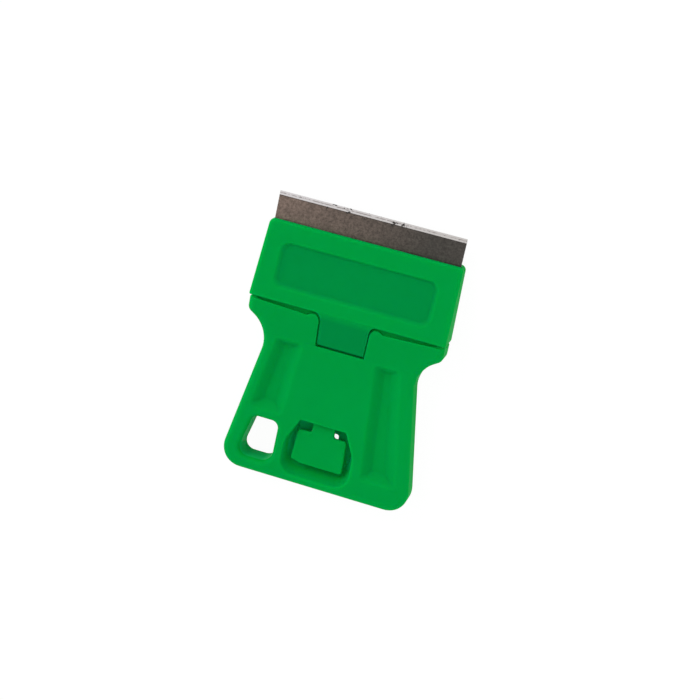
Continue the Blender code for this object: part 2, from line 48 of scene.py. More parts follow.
bladeLow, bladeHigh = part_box("blade")

overrun = 0.002  # how far a cutter reaches past what it cuts
closeBy = 1e-6  # two points this near are one
slideGap = 0.0003
arcSteps = 12
roundedAngle = math.radians(40)
smoothAngle = math.radians(32)

# Places along the scraper, counted from the guard's lip
lengths = {"guard": 0.0154, "slope": 0.00665, "tunnelRoof": 0.0157}
lipY = guardHigh.y
guardRearY = lipY - lengths["guard"]
seamY = guardRearY - slideGap
slopeEndY = seamY - lengths["slope"]
roofEndY = slopeEndY - lengths["tunnelRoof"]
endY = handleLow.y


# Modelling helpers

def leaveEditMode():
    if bpy.context.object and bpy.context.object.mode == "EDIT":
        bpy.ops.object.mode_set(mode="OBJECT")


def makeActive(piece):
    leaveEditMode()
    bpy.ops.object.select_all(action="DESELECT")
    piece.select_set(True)
    bpy.context.view_layer.objects.active = piece


def editPiece(piece):
    makeActive(piece)
    bpy.ops.object.mode_set(mode="EDIT")


# Selects what a test names, in edit mode
def selectWhere(piece, kind, test):
    bpy.ops.mesh.select_mode(type=kind)
    bpy.ops.mesh.select_all(action="DESELECT")
    shape = bmesh.from_edit_mesh(piece.data)
    parts = {"VERT": shape.verts, "EDGE": shape.edges, "FACE": shape.faces}[kind]
    for part in parts:
        if test(part):
            part.select_set(True)
    bmesh.update_edit_mesh(piece.data)


# A flat face through (u, v, radius) corners, each turned round by a vertex bevel. It stays in edit mode
def addOutline(name, corners, at=0.0, across=False):
    leaveEditMode()
    bpy.ops.object.select_all(action="DESELECT")
    bpy.ops.mesh.primitive_circle_add(vertices=len(corners), radius=overrun, fill_type="NGON")
    piece = bpy.context.object
    piece.name = name
    places = [Vector((at, u, v)) if across else Vector((u, v, at)) for u, v, _ in corners]
    for vertex, place in zip(piece.data.vertices, places):
        vertex.co = place
    bpy.ops.object.mode_set(mode="EDIT")
    for index, (_, _, radius) in enumerate(corners):
        if not radius:
            continue
        corner = places[index]
        back = places[index - 1] - corner
        ahead = places[(index + 1) % len(places)] - corner
        reach = radius / math.tan(back.angle(ahead) / 2)
        selectWhere(piece, "VERT", lambda vertex: (vertex.co - corner).length < closeBy)
        bpy.ops.mesh.bevel(affect="VERTICES", offset=reach, segments=arcSteps, clamp_overlap=False)
    return piece


def extrudeBy(move):
    bpy.ops.mesh.select_all(action="SELECT")
    bpy.ops.mesh.extrude_region_move(TRANSFORM_OT_translate={"value": move})
    bpy.ops.mesh.select_all(action="SELECT")
    bpy.ops.mesh.normals_make_consistent(inside=False)


def addPlate(name, corners, low, high):
    piece = addOutline(name, corners, low)
    extrudeBy((0, 0, high - low))
    return piece


# A bar along X with a (y, z, radius) side view
def addBar(name, corners, halfWidth):
    piece = addOutline(name, corners, -halfWidth, across=True)
    extrudeBy((2 * halfWidth, 0, 0))
    return piece


def addBlock(name, halfWidth, yRange, zRange):
    (rear, front), (low, high) = yRange, zRange
    return addBar(name, [(rear, low, 0), (front, low, 0), (front, high, 0), (rear, high, 0)], halfWidth)


def onFace(place, height):
    return abs(place.z - height) < closeBy


# A solid through outlines of equal count at rising heights
def addLoft(name, levels):
    rings = [addOutline(name, corners, height) for corners, height in levels]
    leaveEditMode()
    bpy.ops.object.select_all(action="DESELECT")
    for ring in rings:
        ring.select_set(True)
    bpy.context.view_layer.objects.active = rings[0]
    bpy.ops.object.join()
    piece = bpy.context.object
    editPiece(piece)
    bpy.ops.mesh.select_all(action="SELECT")
    bpy.ops.mesh.delete(type="ONLY_FACE")
    bpy.ops.mesh.select_all(action="SELECT")
    bpy.ops.mesh.bridge_edge_loops()
    for height in (levels[0][1], levels[-1][1]):
        selectWhere(piece, "EDGE", lambda edge: all(onFace(vertex.co, height) for vertex in edge.verts))
        bpy.ops.mesh.edge_face_add()
    bpy.ops.mesh.select_all(action="SELECT")
    bpy.ops.mesh.normals_make_consistent(inside=False)
    return piece


# Corners of an outline with each side moved in by its own amount. Side n runs from corner n - 1 to corner n
def movedIn(corners, insets, radiusShare=0.5, least=0.0003):
    ends = zip([corners[-1]] + corners[:-1], corners)
    turn = math.copysign(1, sum(start[0] * end[1] - end[0] * start[1] for start, end in ends))
    sides = []
    for index, inset in enumerate(insets):
        start = Vector(corners[index - 1][:2])
        along = (Vector(corners[index][:2]) - start).normalized()
        sides.append((start + Vector((-along.y, along.x)) * turn * inset, along))
    moved = []
    for index, (_, _, radius) in enumerate(corners):
        after = (index + 1) % len(corners)
        (here, along), (there, ahead) = sides[index], sides[after]
        across = along.x * ahead.y - along.y * ahead.x
        gap = there - here
        point = here + along * ((gap.x * ahead.y - gap.y * ahead.x) / across)
        change = math.copysign(radiusShare, across * turn) * (insets[index] + insets[after]) / 2
        moved.append((point.x, point.y, max(radius - change, least)))
    return moved


# A quarter circle as shares of its radius: the first share falls to 0 as the second rises to 1
def quarterRound(steps):
    angles = [math.pi / 2 * step / steps for step in range(steps + 1)]
    return [(1 - math.sin(angle), 1 - math.cos(angle)) for angle in angles]


# A moulded block with rounded lower and upper edges. The upper edge is rounded less on the sides named as tight
def addMoulding(name, corners, height, radii, tightSides, tightShare, steps=6):
    lowRadius, highRadius = radii
    shares = [tightShare if index in tightSides else 1.0 for index in range(len(corners))]
    levels = []
    for inset, rise in quarterRound(steps):
        levels.append((movedIn(corners, [lowRadius * inset] * len(corners), radiusShare=1.0), lowRadius * rise))
    for drop, inset in quarterRound(steps):
        insets = [highRadius * inset * share for share in shares]
        levels.append((movedIn(corners, insets, radiusShare=1.0), height - highRadius * drop))
    return addLoft(name, levels)


# Lowers the upper edge of a block to the height that a rule gives along Y
def lowerTop(piece, fromHeight, height, heightAt):
    editPiece(piece)
    shape = bmesh.from_edit_mesh(piece.data)
    for vertex in shape.verts:
        if vertex.co.z > fromHeight:
            vertex.co.z += heightAt(vertex.co.y) - height
    bmesh.update_edit_mesh(piece.data)
    leaveEditMode()


# A cutter for a soft-edged hollow: each side sinks from the rim to the floor along an S curve
def addSoftCutter(name, corners, height, depth, insets, steps=10):
    levels = []
    for step in range(steps, -1, -1):
        share = step / steps
        sunk = depth * share * share * (3 - 2 * share)
        levels.append((movedIn(corners, [inset * share for inset in insets]), height - sunk))
    levels.append((levels[-1][0], height + overrun))
    return addLoft(name, levels)


def combine(piece, other, operation="DIFFERENCE"):
    makeActive(piece)
    modifier = piece.modifiers.new(other.name, "BOOLEAN")
    modifier.operation = operation
    modifier.object = other
    modifier.solver = "EXACT"
    bpy.ops.object.modifier_apply(modifier=modifier.name)
    bpy.data.objects.remove(other, do_unlink=True)


# Rounds the edges sharper than an angle whose middle passes the test
def roundEdges(piece, width, where=lambda middle: True, segments=2, sharper=roundedAngle):
    editPiece(piece)
    selectWhere(
        piece,
        "EDGE",
        lambda edge: len(edge.link_faces) == 2
        and edge.calc_face_angle(0) > sharper
        and where((edge.verts[0].co + edge.verts[1].co) / 2),
    )
    bpy.ops.mesh.bevel(affect="EDGES", offset=width, segments=segments, clamp_overlap=False)
    leaveEditMode()


# Adds an edge all round a piece, straight across it at one place along Y
def splitAt(piece, y):
    editPiece(piece)
    bpy.ops.mesh.select_all(action="SELECT")
    bpy.ops.mesh.bisect(plane_co=(0, y, 0), plane_no=(0, 1, 0))
    leaveEditMode()


def mirrored(corners):
    return corners + [(-x, y, radius) for x, y, radius in reversed(corners)]


# Marks how much painted light each point's wall gets, by a rule on its place and on how far it faces sideways
def markPaintedLight(piece, paintedLightAt):
    shares = piece.data.attributes.new("paintedLightShare", "FLOAT", "POINT")
    for vertex in piece.data.vertices:
        shares.data[vertex.index].value = paintedLightAt(vertex.co, 1 - abs(vertex.normal.z))


def finishPiece(piece, node, body, materials):
    editPiece(piece)
    bpy.ops.mesh.select_all(action="SELECT")
    bpy.ops.mesh.remove_doubles(threshold=closeBy)
    leaveEditMode()
    if not piece.data.materials:
        for material in materials:
            piece.data.materials.append(material)
    makeActive(piece)
    bpy.ops.object.shade_smooth_by_angle(angle=smoothAngle)
    modifier = piece.modifiers.new("evenShading", "WEIGHTED_NORMAL")
    modifier.keep_sharp = True
    bpy.ops.object.modifier_apply(modifier=modifier.name)
    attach(piece, body)
    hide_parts(node)
    print(piece.name, len(piece.data.polygons), "faces")


# Materials

def newMaterial(name):
    material = bpy.data.materials.new(name)
    material.use_nodes = True
    nodes = material.node_tree.nodes
    return material, nodes, material.node_tree.links, nodes["Principled BSDF"]


# Links another node's output to an input, or sets the input to a number or colour
def feed(links, value, socket):
    if hasattr(value, "links"):
        links.new(value, socket)
    else:
        socket.default_value = value


def addMath(nodes, links, operation, *values):
    node = nodes.new("ShaderNodeMath")
    node.operation = operation
    for value, socket in zip(values, node.inputs):
        feed(links, value, socket)
    return node.outputs[0]


def addNoise(nodes, links, source, scale, detail, roughness=0.5):
    noise = nodes.new("ShaderNodeTexNoise")
    feed(links, scale, noise.inputs["Scale"])
    noise.inputs["Detail"].default_value = detail
    noise.inputs["Roughness"].default_value = roughness
    links.new(source, noise.inputs["Vector"])
    return noise.outputs["Fac"]


def addRange(nodes, links, source, fromLow, fromHigh, toLow=0.0, toHigh=1.0):
    span = nodes.new("ShaderNodeMapRange")
    span.inputs["From Min"].default_value = fromLow
    span.inputs["From Max"].default_value = fromHigh
    span.inputs["To Min"].default_value = toLow
    span.inputs["To Max"].default_value = toHigh
    links.new(source, span.inputs["Value"])
    return span.outputs["Result"]


# A soft band between two distances
def addBand(nodes, links, distance, low, high, soft=0.00006):
    rising = addRange(nodes, links, distance, low - soft, low + soft)
    falling = addRange(nodes, links, distance, high - soft, high + soft, 1.0, 0.0)
    return addMath(nodes, links, "MULTIPLY", rising, falling)


def addMix(nodes, links, share, first, second, blend="MIX"):
    mix = nodes.new("ShaderNodeMix")
    mix.data_type = "RGBA"
    mix.blend_type = blend
    for value, socket in ((share, mix.inputs[0]), (first, mix.inputs[6]), (second, mix.inputs[7])):
        feed(links, value, socket)
    return mix.outputs[2]


def addAttribute(nodes, name):
    attribute = nodes.new("ShaderNodeAttribute")
    attribute.attribute_name = name
    return attribute.outputs["Fac"]


def addBump(nodes, links, height, strength, distance):
    bump = nodes.new("ShaderNodeBump")
    bump.inputs["Distance"].default_value = distance
    feed(links, strength, bump.inputs["Strength"])
    links.new(height, bump.inputs["Height"])
    return bump.outputs["Normal"]


# Painted light and shade. A wall share up to wallTo turns to the wall colour, a yellower green painted on the side
# walls as the light that glows through their thin edges, and from holeFrom to holeTo on to the hole colour, a
# paler blue-green painted to lift the shade in the hole, the pocket, the open channel and the seam. The sunk
# colour is a darker green painted as shade on the panel's floor and on the tongue
plasticLook = {
    "colour": (0.0, 0.385, 0.064, 1.0),
    "paintedEdgeLightColour": (0.0, 0.375, 0.047, 1.0),
    "paintedHollowLightColour": (0.0, 0.60, 0.175, 1.0),
    "paintedShadeColour": (0.0, 0.305, 0.066, 1.0),
    "wallFrom": 0.25,
    "wallTo": 0.95,
    "holeFrom": 1.2,
    "holeTo": 1.9,
    "toneSpread": 0.02,
    "toneScale": 90.0,
    "toneDetail": 3.0,
    "toneRange": (0.3, 0.7),
    "roughness": (0.42, 0.52),
    "grainScale": 5200.0,
    "grainDetail": 2.0,
    "grainStrength": 0.1,
    "grainHeight": 0.00003,
    "specular": 0.1,
    "ior": 1.12,
    "glowThrough": 0.8,
    "glowColour": (0.25, 1.0, 0.35),
    "glowDepth": 0.0025,
}


# Moulded surface: slow tone variation and fine grain, shared by the green pieces
def mouldedSurfaceGroup():
    look = plasticLook
    group = bpy.data.node_groups.new("mouldedSurface", "ShaderNodeTree")
    settings = {"Tone Scale": "toneScale", "Grain Scale": "grainScale", "Grain Strength": "grainStrength"}
    for name, key in settings.items():
        socket = group.interface.new_socket(name=name, in_out="INPUT", socket_type="NodeSocketFloat")
        socket.default_value = look[key]
    for name, kind in (("Tone", "Float"), ("Roughness", "Float"), ("Normal", "Vector")):
        group.interface.new_socket(name=name, in_out="OUTPUT", socket_type="NodeSocket" + kind)
    nodes = group.nodes
    links = group.links
    inputs = nodes.new("NodeGroupInput")
    outputs = nodes.new("NodeGroupOutput")
    place = nodes.new("ShaderNodeTexCoord").outputs["Object"]
    tone = addNoise(nodes, links, place, inputs.outputs["Tone Scale"], look["toneDetail"])
    grain = addNoise(nodes, links, place, inputs.outputs["Grain Scale"], look["grainDetail"])
    normal = addBump(nodes, links, grain, inputs.outputs["Grain Strength"], look["grainHeight"])
    links.new(addRange(nodes, links, tone, *look["toneRange"]), outputs.inputs["Tone"])
    links.new(addRange(nodes, links, tone, *look["toneRange"], *look["roughness"]), outputs.inputs["Roughness"])
    links.new(normal, outputs.inputs["Normal"])
    return group


def greenPlastic(name, surface):
    look = plasticLook
    material, nodes, links, shader = newMaterial(name)
    moulded = nodes.new("ShaderNodeGroup")
    moulded.node_tree = surface
    darker = tuple(part * (1 - look["toneSpread"]) for part in look["colour"][:3]) + (1.0,)
    lighter = tuple(part * (1 + look["toneSpread"]) for part in look["colour"][:3]) + (1.0,)
    body = addMix(nodes, links, moulded.outputs["Tone"], darker, lighter)
    # Painted shade: the panel's floor and the tongue turn a darker green
    body = addMix(nodes, links, addAttribute(nodes, "paintedShadeShare"), body, look["paintedShadeColour"])
    # Painted light: walls turn a yellower green and hollows a paler blue-green, by the marked share
    walls = addAttribute(nodes, "paintedLightShare")
    paintedLightShare = addRange(nodes, links, walls, look["wallFrom"], look["wallTo"])
    body = addMix(nodes, links, paintedLightShare, body, look["paintedEdgeLightColour"])
    hollowLightShare = addRange(nodes, links, walls, look["holeFrom"], look["holeTo"])
    links.new(addMix(nodes, links, hollowLightShare, body, look["paintedHollowLightColour"]), shader.inputs["Base Color"])
    links.new(moulded.outputs["Roughness"], shader.inputs["Roughness"])
    links.new(moulded.outputs["Normal"], shader.inputs["Normal"])
    shader.inputs["Specular IOR Level"].default_value = look["specular"]
    shader.inputs["IOR"].default_value = look["ior"]
    shader.inputs["Subsurface Weight"].default_value = look["glowThrough"]
    shader.inputs["Subsurface Radius"].default_value = look["glowColour"]
    shader.inputs["Subsurface Scale"].default_value = look["glowDepth"]
    return material


# A noise is its scale, detail and roughness. Distances are behind the cutting edge, and nickBand is a share of the
# blade's width from the left
steelLook = {
    "leftColour": (0.182, 0.133, 0.110, 1.0),
    "rightColour": (0.052, 0.047, 0.041, 1.0),
    "rightFrom": 0.82,
    "grainNoise": (1800.0, 4.0, 0.75),
    "grainRange": (0.34, 0.66),
    "grainDark": (0.58, 0.56, 0.54, 1.0),
    "grainLight": (1.42, 1.40, 1.38, 1.0),
    "darkStain": (0.045, 0.036, 0.030, 1.0),
    "stainNoise": (420.0, 5.0, 0.65),
    "stainRange": (0.45, 0.72),
    "stainShare": 0.3,
    "darkLine": (0.00078, 0.00105),
    "darkLineShare": 0.75,
    "rolledMetal": 0.55,
    "rolledRoughness": (0.40, 0.58),
    "rollNoise": (5000.0, 3.0),
    "rollStrength": 0.15,
    "rollHeight": 0.00002,
    "groundLeft": (0.68, 0.65, 0.66, 1.0),
    "groundRight": (0.58, 0.55, 0.53, 1.0),
    "groundMetal": 0.35,
    "groundRoughness": (0.34, 0.46),
    "groundLine": (0.26, 0.23, 0.22, 1.0),
    "lineFrom": 0.00030,
    "lineTo": 0.00046,
    "breakNoise": (1700.0, 3.0, 0.6),
    "breakRange": (0.4, 0.58),
    "nick": (0.03, 0.025, 0.022, 1.0),
    "nickNoise": (620.0, 3.0, 0.75),
    "nickBand": (0.30, 0.62),
    "nickBandSoft": 0.1,
    "nickBandShare": 0.07,
    "nickRange": (0.635, 0.67),
    "nickEnd": (0.0011, 0.0016),
    "spineBright": (0.55, 0.54, 0.52, 1.0),
    "spineWorn": (0.40, 0.385, 0.37, 1.0),
    "spineNoise": (700.0, 5.0, 0.6),
    "spineRange": (0.35, 0.7),
    "spineRoughness": (0.28, 0.42),
}


# How far a point lies behind the cutting edge, and how far along the blade from the left
def bladePlaces(nodes, links, place):
    split = nodes.new("ShaderNodeSeparateXYZ")
    links.new(place, split.inputs["Vector"])
    behind = addMath(nodes, links, "SUBTRACT", bladeHigh.y, split.outputs["Y"])
    return behind, addRange(nodes, links, split.outputs["X"], bladeLow.x, bladeHigh.x)


# Small dark nicks, thickest a little left of the middle of the edge
def nickShare(nodes, links, place, along):
    look = steelLook
    noise = addNoise(nodes, links, place, *look["nickNoise"])
    thickest = addBand(nodes, links, along, *look["nickBand"], look["nickBandSoft"])
    raised = addMath(nodes, links, "MULTIPLY_ADD", thickest, look["nickBandShare"], noise)
    return addRange(nodes, links, raised, *look["nickRange"])


def bladeSteel():
    look = steelLook
    material, nodes, links, shader = newMaterial("bladeSteel")
    place = nodes.new("ShaderNodeTexCoord").outputs["Object"]
    behind, along = bladePlaces(nodes, links, place)
    toRight = addRange(nodes, links, along, 0.0, look["rightFrom"])
    base = addMix(nodes, links, toRight, look["leftColour"], look["rightColour"])
    grain = addNoise(nodes, links, place, *look["grainNoise"])
    grainShare = addRange(nodes, links, grain, *look["grainRange"])
    grainTone = addMix(nodes, links, grainShare, look["grainDark"], look["grainLight"])
    grained = addMix(nodes, links, 1.0, base, grainTone, "MULTIPLY")
    mottle = addNoise(nodes, links, place, *look["stainNoise"])
    stain = addRange(nodes, links, mottle, *look["stainRange"], 0.0, look["stainShare"])
    stained = addMix(nodes, links, stain, grained, look["darkStain"])
    # Darker in a thin band just behind the ground bevel, fading back from it
    bandBehindBevel = addRange(nodes, links, behind, *look["darkLine"], look["darkLineShare"], 0.0)
    lined = addMix(nodes, links, bandBehindBevel, stained, look["nick"])
    nearEdge = addRange(nodes, links, behind, *look["nickEnd"], 1.0, 0.0)
    nicks = addMath(nodes, links, "MULTIPLY", nearEdge, nickShare(nodes, links, place, along))
    links.new(addMix(nodes, links, nicks, lined, look["nick"]), shader.inputs["Base Color"])
    links.new(addRange(nodes, links, grain, 0, 1, *look["rolledRoughness"]), shader.inputs["Roughness"])
    shader.inputs["Metallic"].default_value = look["rolledMetal"]
    rolled = addNoise(nodes, links, place, *look["rollNoise"])
    normal = addBump(nodes, links, rolled, look["rollStrength"], look["rollHeight"])
    links.new(normal, shader.inputs["Normal"])
    return material


def groundSteel():
    look = steelLook
    material, nodes, links, shader = newMaterial("groundSteel")
    place = nodes.new("ShaderNodeTexCoord").outputs["Object"]
    behind, along = bladePlaces(nodes, links, place)
    bright = addMix(nodes, links, along, look["groundLeft"], look["groundRight"])
    breaks = addNoise(nodes, links, place, *look["breakNoise"])
    broken = addRange(nodes, links, breaks, *look["breakRange"])
    band = addBand(nodes, links, behind, look["lineFrom"], look["lineTo"])
    line = addMath(nodes, links, "MULTIPLY", band, broken)
    lined = addMix(nodes, links, line, bright, look["groundLine"])
    nicks = nickShare(nodes, links, place, along)
    links.new(addMix(nodes, links, nicks, lined, look["nick"]), shader.inputs["Base Color"])
    links.new(addRange(nodes, links, broken, 0, 1, *look["groundRoughness"]), shader.inputs["Roughness"])
    shader.inputs["Metallic"].default_value = look["groundMetal"]
    return material


def spineSteel():
    look = steelLook
    material, nodes, links, shader = newMaterial("spineSteel")
    place = nodes.new("ShaderNodeTexCoord").outputs["Object"]
    rubbed = addNoise(nodes, links, place, *look["spineNoise"])
    wear = addRange(nodes, links, rubbed, *look["spineRange"])
    links.new(addMix(nodes, links, wear, look["spineBright"], look["spineWorn"]), shader.inputs["Base Color"])
    links.new(addRange(nodes, links, wear, 0, 1, *look["spineRoughness"]), shader.inputs["Roughness"])
    shader.inputs["Metallic"].default_value = 1.0
    return material


# Handle

handleShape = {
    "thickness": 0.0058,
    "shoulderHeight": 0.0066,
    "shoulderHalf": 0.02015,
    "cornerRadius": 0.0004,
    "shoulderStraight": 0.0029,
    "shoulderRadius": 0.0014,
    "waistHalf": 0.01515,
    "waistFromSeam": 0.0062,
    "waistRadius": 0.0062,
    "endHalf": 0.02055,
    "endRadius": 0.0043,
    "edgeRadius": 0.0010,
    "topRadius": 0.0014,
    "seamShare": 0.3,
}

# The open seam: a ledge at its floor, a block at each end, and grooves that widen towards the middle
seamShape = {
    "ledge": 0.00024,
    "ledgeInset": 0.0007,
    "ledgeLow": 0.0006,
    "depth": 0.0008,
    "endHalf": 0.0007,
    "endInset": 0.0005,
    "endLow": 0.0009,
    "endDepth": 0.00035,
    "grooveFar": 0.0016,
    "grooveStart": 0.00002,
    "grooveEndFar": 0.0028,
    "grooveEnd": 0.00026,
    "grooveNear": 0.0078,
    "grooveWidth": 0.0007,
    "grooveRadius": 0.0005,
    "grooveRun": 0.0012,
}

deckShape = {
    "half": 0.01905,
    "low": 0.0011,
    "top": 0.0023,
    "troughFloor": 0.00175,
    "stopTop": 0.0030,
    "frontFromLip": 0.0024,
    "troughFront": 0.01495,
    "troughRear": 0.00891,
    "edgeRound": 0.00012,
    "pegX": 0.01815,
    "pegY": 0.01685,
    "pegRadius": 0.0007,
    "pegTop": 0.00288,
    "pegRound": 0.0001,
    "pegSides": 28,
}

channelShape = {
    "mouthHalf": 0.00935,
    "mouthLead": 0.0002,
    "rootHalf": 0.00535,
    "endHalf": 0.0051,
    "mouthRadius": 0.0019,
    "lineDepth": 0.0006,
    "ledge": 0.00024,
    "floor": 0.0031,
    "ceiling": 0.0049,
    "deepFloor": 0.0022,
    "deepHalf": 0.00575,
    "deepFront": -0.0055,
    "deepPastRoof": 0.00235,
}

pocketShape = {
    "topHalf": 0.0048,
    "topRadius": 0.0005,
    "half": 0.00725,
    "flareRun": 0.0050,
    "length": 0.01195,
    "sideRadius": 0.0060,
    "endRadius": 0.0031,
    "sideDraft": 0.0011,
    "endDraft": 0.0016,
    "scoop": 0.0023,
    "scoopPower": 1.7,
    "scoopLevels": (0.0, 0.12, 0.3, 0.55, 0.8, 1.0),
    "rimRound": 0.00035,
    "windowHalf": 0.0029,
    "windowFromRoof": 0.0020,
    "windowLength": 0.0056,
    "windowRadius": 0.0005,
    "windowEndRadius": 0.0008,
    "windowRound": 0.0002,
}

panShape = {
    "leftRim": 0.0019,
    "rightRim": 0.0022,
    "ribHalf": 0.0071,
    "ribEndHalf": 0.0097,
    "cornerRadius": 0.0012,
    "depth": 0.0016,
    "shadeSide": 0.0023,
    "lightSide": 0.0031,
    "topRun": 0.0018,
    "endRun": 0.0026,
    "topFromSlope": 0.0001,
    "leftEnd": -0.0154,
    "rightEnd": -0.0239,
}

holeShape = {
    "right": -0.0092,
    "top": -0.01690,
    "bottom": -0.02585,
    "width": 0.0076,
    "lean": 0.0021,
    "radius": 0.0015,
    "nearRadius": 0.0025,
    "wideRadius": 0.0021,
    "rimRound": 0.0004,
    "topRound": 0.0010,
    "rimSteps": 6,
}

# Painted light: where the handle's side walls take the wall colour, and where the hole, the pocket, the open
# channel and the seam take the paler hollow colour that lifts their shade, and how much
handlePaintedLight = {
    "rim": 0.0012,
    "shoulderReach": 0.0045,
    "hole": 1.65,
    "holeReach": 0.0013,
    "pocketMost": 2.0,
    "pocketReach": 0.0003,
    "pocketFrom": 0.0007,
    "pocketDepth": 0.0010,
    "pocketEnd": 0.68,
    "pocketEndFade": 0.0045,
    "mouth": 1.25,
    "mouthFall": 0.12,
    "mouthSunk": 0.0003,
    "seamReach": 0.0008,
    "channelSide": 0.0002,
    "channelEnd": 0.0006,
}


def handleHalfAt(y):
    share = (seamY - handleShape["waistFromSeam"] - y) / (seamY - handleShape["waistFromSeam"] - endY)
    return handleShape["waistHalf"] + (handleShape["endHalf"] - handleShape["waistHalf"]) * share


def ribHalfAt(y):
    share = (slopeEndY - y) / (slopeEndY - endY)
    return panShape["ribHalf"] + (panShape["ribEndHalf"] - panShape["ribHalf"]) * share


def addHandleBlock():
    size = handleShape
    outline = mirrored([
        (size["shoulderHalf"], seamY, size["cornerRadius"]),
        (size["shoulderHalf"], seamY - size["shoulderStraight"], size["shoulderRadius"]),
        (size["waistHalf"], seamY - size["waistFromSeam"], size["waistRadius"]),
        (size["endHalf"], endY, size["endRadius"]),
    ])
    height = size["shoulderHeight"]
    radii = (size["edgeRadius"], size["topRadius"])
    handle = addMoulding("handle", outline, height, radii, (0,), size["seamShare"])
    splitAt(handle, slopeEndY)
    fall = height - size["thickness"]

    def topAt(y):
        return size["thickness"] + fall * min(1.0, max(0.0, (y - slopeEndY) / (seamY - slopeEndY)))

    lowerTop(handle, height / 2, height, topAt)
    return handle


def openSeam(handle):
    size = seamShape
    half = handleShape["shoulderHalf"]
    height = handleShape["shoulderHeight"]
    ledgeRange = (seamY - handleShape["edgeRadius"], seamY + size["ledge"])
    floor = height - size["depth"]
    ledge = addBlock("seamLedge", half - size["ledgeInset"], ledgeRange, (size["ledgeLow"], floor))
    combine(handle, ledge, "UNION")
    for side, name in ((-1, "leftSeamEnd"), (1, "rightSeamEnd")):
        endBlock = addBlock(name, size["endHalf"], ledgeRange, (size["endLow"], height - size["endDepth"]))
        leaveEditMode()
        endBlock.data.transform(Matrix.Translation((side * (half - size["endHalf"] - size["endInset"]), 0, 0)))
        combine(handle, endBlock, "UNION")
    for side, name in ((-1, "leftSeamCut"), (1, "rightSeamCut")):
        corners = [
            (side * (half - size["grooveFar"]), seamY + overrun, 0),
            (side * (half - size["grooveFar"]), seamY - size["grooveStart"], 0),
            (side * (half - size["grooveEndFar"]), seamY - size["grooveEnd"], 0),
            (side * size["grooveNear"], seamY - size["grooveWidth"], size["grooveRadius"]),
            (side * (size["grooveNear"] - size["grooveRun"]), seamY, 0),
            (side * (size["grooveNear"] - size["grooveRun"]), seamY + overrun, 0),
        ]
        combine(handle, addPlate(name, corners, floor, height + overrun))


def addDeck(handle):
    size = deckShape
    deck = addBar("deck", [
        (lipY - size["frontFromLip"], size["low"], 0),
        (lipY - size["frontFromLip"], size["top"], 0),
        (size["troughFront"], size["top"], 0),
        (size["troughFront"], size["troughFloor"], 0),
        (size["troughRear"], size["troughFloor"], 0),
        (size["troughRear"], size["stopTop"], 0),
        (seamY - overrun, size["stopTop"], 0),
        (seamY - overrun, size["low"], 0),
    ], size["half"])
    roundEdges(deck, size["edgeRound"])
    combine(handle, deck, "UNION")
    height = size["pegTop"] - size["low"] - slideGap / 2
    for side, name in ((-1, "leftPeg"), (1, "rightPeg")):
        leaveEditMode()
        bpy.ops.object.select_all(action="DESELECT")
        bpy.ops.mesh.primitive_cylinder_add(
            vertices=size["pegSides"], radius=size["pegRadius"], depth=height,
            location=(side * size["pegX"], size["pegY"], size["pegTop"] - height / 2),
        )
        peg = bpy.context.object
        peg.name = name
        bpy.ops.object.transform_apply(location=True, rotation=True, scale=True)
        roundEdges(peg, size["pegRound"], lambda middle: middle.z > size["pegTop"] - closeBy)
        combine(handle, peg, "UNION")


def channelOutline(ledge):
    size = channelShape
    frontY = seamY + size["mouthLead"] + ledge
    return mirrored([
        (size["mouthHalf"], seamY + overrun, slideGap),
        (size["mouthHalf"], frontY, slideGap),
        (size["rootHalf"] - ledge, frontY, size["mouthRadius"]),
        (size["endHalf"] - ledge, slopeEndY, slideGap),
    ])


# The open channel with the thin line round the tongue, and the tunnel behind it
def cutChannel(handle):
    size = channelShape
    height = handleShape["shoulderHeight"]
    seamFloor = height - size["lineDepth"]
    slopeFloor = handleShape["thickness"] - size["lineDepth"]
    combine(handle, addPlate("channelCut", channelOutline(size["ledge"]), size["floor"], height + overrun))
    line = addPlate("lineCut", channelOutline(0), size["floor"], height + overrun)
    combine(line, addBar("lineView", [
        (seamY + overrun * 2, seamFloor, 0),
        (seamY, seamFloor, 0),
        (slopeEndY, slopeFloor, 0),
        (slopeEndY - overrun, slopeFloor, 0),
        (slopeEndY - overrun, height + overrun * 2, 0),
        (seamY + overrun * 2, height + overrun * 2, 0),
    ], size["mouthHalf"] + overrun), "INTERSECT")
    combine(handle, line)
    tunnelRange = (size["deepFront"] - overrun, slopeEndY + overrun)
    combine(handle, addBlock("tunnelCut", size["endHalf"], tunnelRange, (size["floor"], size["ceiling"])))
    deepRange = (roofEndY - size["deepPastRoof"], size["deepFront"])
    combine(handle, addBlock("deepCut", size["deepHalf"], deepRange, (size["deepFloor"], size["ceiling"])))


def pocketOutline(sideDraft, endDraft, scoop):
    size = pocketShape
    bottomY = roofEndY - size["length"]
    return mirrored([
        (size["topHalf"], roofEndY, size["topRadius"]),
        (size["half"] - sideDraft, roofEndY - size["flareRun"], size["sideRadius"]),
        (size["half"] - endDraft, bottomY + scoop, size["endRadius"]),
    ])


# The thumb pocket, whose end wall is scooped, steep at the rim and flat at the floor
def cutPocket(handle):
    size = pocketShape
    top = handleShape["thickness"]
    floor = channelShape["deepFloor"]
    levels = []
    for share in size["scoopLevels"]:
        hollow = (1 - share) ** size["scoopPower"]
        levels.append((
            pocketOutline(size["sideDraft"] * hollow, size["endDraft"] * hollow, size["scoop"] * hollow),
            floor + (top - floor) * share,
        ))
    levels.append((levels[-1][0], top + overrun))
    combine(handle, addLoft("pocketCut", levels))
    windowTop = roofEndY - size["windowFromRoof"]
    window = mirrored([
        (size["windowHalf"], windowTop, size["windowRadius"]),
        (size["windowHalf"], windowTop - size["windowLength"], size["windowEndRadius"]),
    ])
    combine(handle, addPlate("windowCut", window, -overrun, floor + slideGap))


